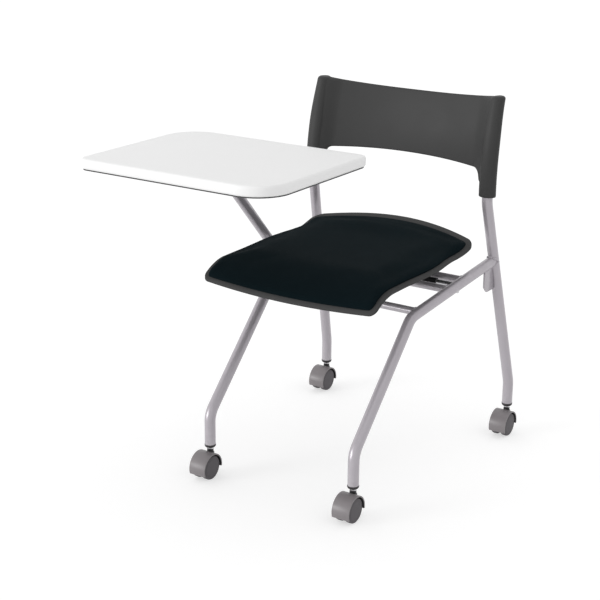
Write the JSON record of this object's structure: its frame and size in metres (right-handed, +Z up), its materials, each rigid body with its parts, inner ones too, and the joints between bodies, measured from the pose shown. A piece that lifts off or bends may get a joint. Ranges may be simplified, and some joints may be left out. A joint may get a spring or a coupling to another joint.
{
  "type": "nesting chair with writing tablet",
  "caption": "Nesting chair on swivel casters with a tubular steel frame, a seat that tips up, a low plastic back and a writing tablet that flips up beside the sitter.",
  "frame": {"origin": "middle of the chair's outer box, on the floor", "axes": "+Z up; the sitter faces -Y; +X is the sitter's left, and the tablet arm is on the sitter's right"},
  "size_m": [0.5412, 0.7804, 0.745],
  "materials": {
    "frame_paint": "silver powder coat on steel tube, satin",
    "bright_steel": "bright plated steel",
    "shell_plastic": "moulded polypropylene, dark grey, fine grain",
    "black_plastic": "moulded nylon, black",
    "rubber": "soft black rubber",
    "seat_cloth": "plain woven upholstery cloth over foam, blue-black",
    "tablet_white": "white faced board with a soft rounded edge",
    "tablet_dark": "dark grey backing sheet",
    "caster_grey": "moulded nylon, mid grey",
    "wheel_grey": "moulded nylon wheel, grey"
  },
  "bodies": {
    "frame": {"front_leg_tube_right": "frame_paint", "front_leg_tube_left": "frame_paint", "rear_upright_tube_right": "frame_paint", "rear_upright_tube_left": "frame_paint", "nesting_stop_right": "frame_paint", "nesting_stop_left": "frame_paint", "cross_tube_front": "frame_paint", "cross_tube_middle": "frame_paint", "cross_tube_rear": "frame_paint", "seat_hinge_rod": "bright_steel", "hinge_lock_screw_right": "bright_steel", "hinge_lock_screw_left": "bright_steel", "seat_bumper_right": "rubber", "seat_bumper_left": "rubber", "back_shell": "shell_plastic", "tablet_support_arm": "frame_paint", "tablet_arm_bolt_rear": "bright_steel", "tablet_arm_bolt_front": "bright_steel", "tablet_arm_end_cap": "black_plastic", "tablet_rest_bumper": "rubber", "leg_ferrule_front_right": "black_plastic", "leg_ferrule_front_left": "black_plastic", "leg_ferrule_rear_right": "black_plastic", "leg_ferrule_rear_left": "black_plastic", "caster_stem_front_right": "bright_steel", "caster_stem_front_left": "bright_steel", "caster_stem_rear_right": "bright_steel", "caster_stem_rear_left": "bright_steel"},
    "seat": {"seat_shell": "shell_plastic", "seat_pad": "seat_cloth", "seat_bracket_right": "black_plastic", "seat_bracket_left": "black_plastic", "seat_screw_rear_right": "bright_steel", "seat_screw_front_right": "bright_steel", "seat_screw_rear_left": "bright_steel", "seat_screw_front_left": "bright_steel"},
    "tablet": {"tablet_top": "tablet_white", "tablet_backing": "tablet_dark", "tablet_pivot_block_rear": "black_plastic", "tablet_pivot_block_front": "black_plastic", "tablet_screw_1": "bright_steel", "tablet_screw_2": "bright_steel", "tablet_screw_3": "bright_steel", "tablet_screw_4": "bright_steel"},
    "caster_front_right": {"caster_hood_front_right": "caster_grey", "caster_axle_front_right": "bright_steel"},
    "caster_front_left": {"caster_hood_front_left": "caster_grey", "caster_axle_front_left": "bright_steel"},
    "caster_rear_right": {"caster_hood_rear_right": "caster_grey", "caster_axle_rear_right": "bright_steel"},
    "caster_rear_left": {"caster_hood_rear_left": "caster_grey", "caster_axle_rear_left": "bright_steel"},
    "wheel_outer_front_right": {"caster_wheel_outer_front_right": "wheel_grey"},
    "wheel_inner_front_right": {"caster_wheel_inner_front_right": "wheel_grey"},
    "wheel_outer_front_left": {"caster_wheel_outer_front_left": "wheel_grey"},
    "wheel_inner_front_left": {"caster_wheel_inner_front_left": "wheel_grey"},
    "wheel_outer_rear_right": {"caster_wheel_outer_rear_right": "wheel_grey"},
    "wheel_inner_rear_right": {"caster_wheel_inner_rear_right": "wheel_grey"},
    "wheel_outer_rear_left": {"caster_wheel_outer_rear_left": "wheel_grey"},
    "wheel_inner_rear_left": {"caster_wheel_inner_rear_left": "wheel_grey"}
  },
  "joints": [
    {"name": "seat_tip_up", "type": "hinge", "parent": "frame", "child": "seat", "pos_m": [0.0199, 0.18626, 0.37823], "axis": [-1, 0, 0], "range_deg": [0, 75]},
    {"name": "tablet_flip", "type": "hinge", "parent": "frame", "child": "tablet", "pos_m": [-0.1971, -0.19174, 0.64], "axis": [0, -1, 0], "range_deg": [0, 95]},
    {"name": "caster_swivel_front_right", "type": "hinge", "parent": "frame", "child": "caster_front_right", "pos_m": [-0.1487, -0.16304, 0.05], "axis": [0, 0, 1], "continuous": true},
    {"name": "caster_swivel_front_left", "type": "hinge", "parent": "frame", "child": "caster_front_left", "pos_m": [0.1885, -0.16304, 0.05], "axis": [0, 0, 1], "continuous": true},
    {"name": "caster_swivel_rear_right", "type": "hinge", "parent": "frame", "child": "caster_rear_right", "pos_m": [-0.212, 0.37626, 0.05], "axis": [0, 0, 1], "continuous": true},
    {"name": "caster_swivel_rear_left", "type": "hinge", "parent": "frame", "child": "caster_rear_left", "pos_m": [0.2518, 0.37626, 0.05], "axis": [0, 0, 1], "continuous": true},
    {"name": "wheel_spin_outer_front_right", "type": "hinge", "parent": "caster_front_right", "child": "wheel_outer_front_right", "pos_m": [-0.1487, -0.17904, 0.025], "axis": [1, 0, 0], "continuous": true},
    {"name": "wheel_spin_inner_front_right", "type": "hinge", "parent": "caster_front_right", "child": "wheel_inner_front_right", "pos_m": [-0.1487, -0.17904, 0.025], "axis": [1, 0, 0], "continuous": true},
    {"name": "wheel_spin_outer_front_left", "type": "hinge", "parent": "caster_front_left", "child": "wheel_outer_front_left", "pos_m": [0.1885, -0.17904, 0.025], "axis": [1, 0, 0], "continuous": true},
    {"name": "wheel_spin_inner_front_left", "type": "hinge", "parent": "caster_front_left", "child": "wheel_inner_front_left", "pos_m": [0.1885, -0.17904, 0.025], "axis": [1, 0, 0], "continuous": true},
    {"name": "wheel_spin_outer_rear_right", "type": "hinge", "parent": "caster_rear_right", "child": "wheel_outer_rear_right", "pos_m": [-0.212, 0.36026, 0.025], "axis": [1, 0, 0], "continuous": true},
    {"name": "wheel_spin_inner_rear_right", "type": "hinge", "parent": "caster_rear_right", "child": "wheel_inner_rear_right", "pos_m": [-0.212, 0.36026, 0.025], "axis": [1, 0, 0], "continuous": true},
    {"name": "wheel_spin_outer_rear_left", "type": "hinge", "parent": "caster_rear_left", "child": "wheel_outer_rear_left", "pos_m": [0.2518, 0.36026, 0.025], "axis": [1, 0, 0], "continuous": true},
    {"name": "wheel_spin_inner_rear_left", "type": "hinge", "parent": "caster_rear_left", "child": "wheel_inner_rear_left", "pos_m": [0.2518, 0.36026, 0.025], "axis": [1, 0, 0], "continuous": true}
  ]
}
